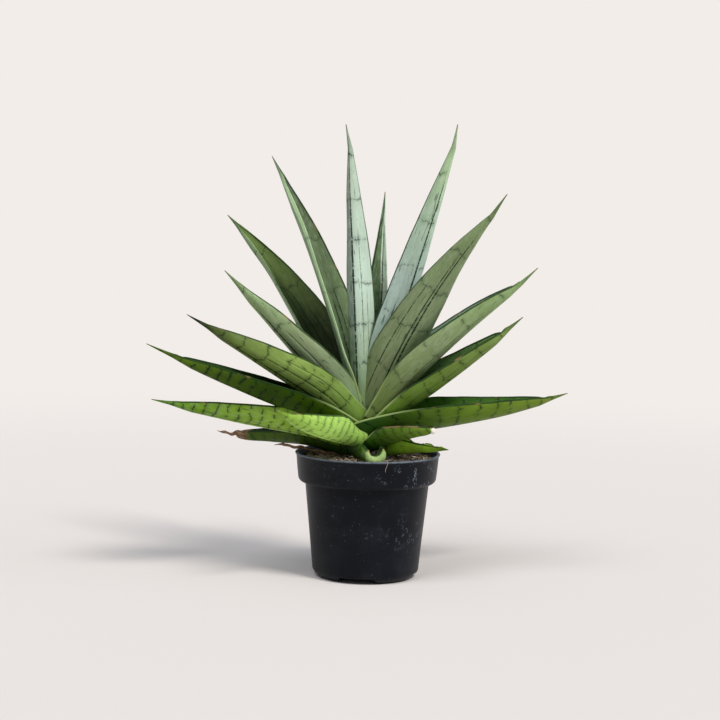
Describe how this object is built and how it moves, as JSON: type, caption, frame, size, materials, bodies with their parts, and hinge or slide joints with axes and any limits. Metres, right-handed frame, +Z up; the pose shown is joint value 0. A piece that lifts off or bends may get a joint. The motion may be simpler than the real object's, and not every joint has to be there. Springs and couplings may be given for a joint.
{
  "type": "potted snake plant",
  "caption": "Snake plant with thick channelled pointed leaves in a spreading rosette, rooted in potting mix in a round black plastic nursery pot with a deep rim band.",
  "frame": {"origin": "centre of the pot's foot circle, on the surface that the pot stands on", "axes": "+Z up along the pot's axis, +X to the right and -Y towards the viewer in front of the plant"},
  "size_m": [0.347, 0.1953, 0.3726],
  "materials": {
    "leaf_grey_green": "satin",
    "leaf_olive": "satin",
    "leaf_dark_green": "satin",
    "leaf_yellow_green": "satin",
    "leaf_dry": "matte",
    "crown_and_roots": "matte",
    "potting_mix": "matte",
    "pot_plastic": "satin"
  },
  "bodies": {
    "root": {"leaf_centre_small": "leaf_grey_green", "leaf_front_tall": "leaf_grey_green", "leaf_right_tall": "leaf_grey_green", "leaf_left_tall": "leaf_grey_green", "leaf_right_upper": "leaf_olive", "leaf_left_upper": "leaf_grey_green", "leaf_back_left": "leaf_dark_green", "leaf_back_short": "leaf_dark_green", "leaf_right_middle": "leaf_olive", "leaf_left_middle": "leaf_grey_green", "leaf_right_lower": "leaf_dark_green", "leaf_left_lower": "leaf_dark_green", "leaf_back_left_short": "leaf_dark_green", "leaf_right_low": "leaf_yellow_green", "leaf_left_low": "leaf_yellow_green", "leaf_front_right_clipped": "leaf_yellow_green", "leaf_front_left_short": "leaf_yellow_green", "leaf_left_dried_tip": "leaf_dark_green", "leaf_front_cut_stub": "leaf_yellow_green", "leaf_right_on_soil": "leaf_yellow_green", "leaf_withered": "leaf_dry", "crown_and_roots": "crown_and_roots", "potting_mix": "potting_mix", "nursery_pot": "pot_plastic"}
  },
  "joints": []
}
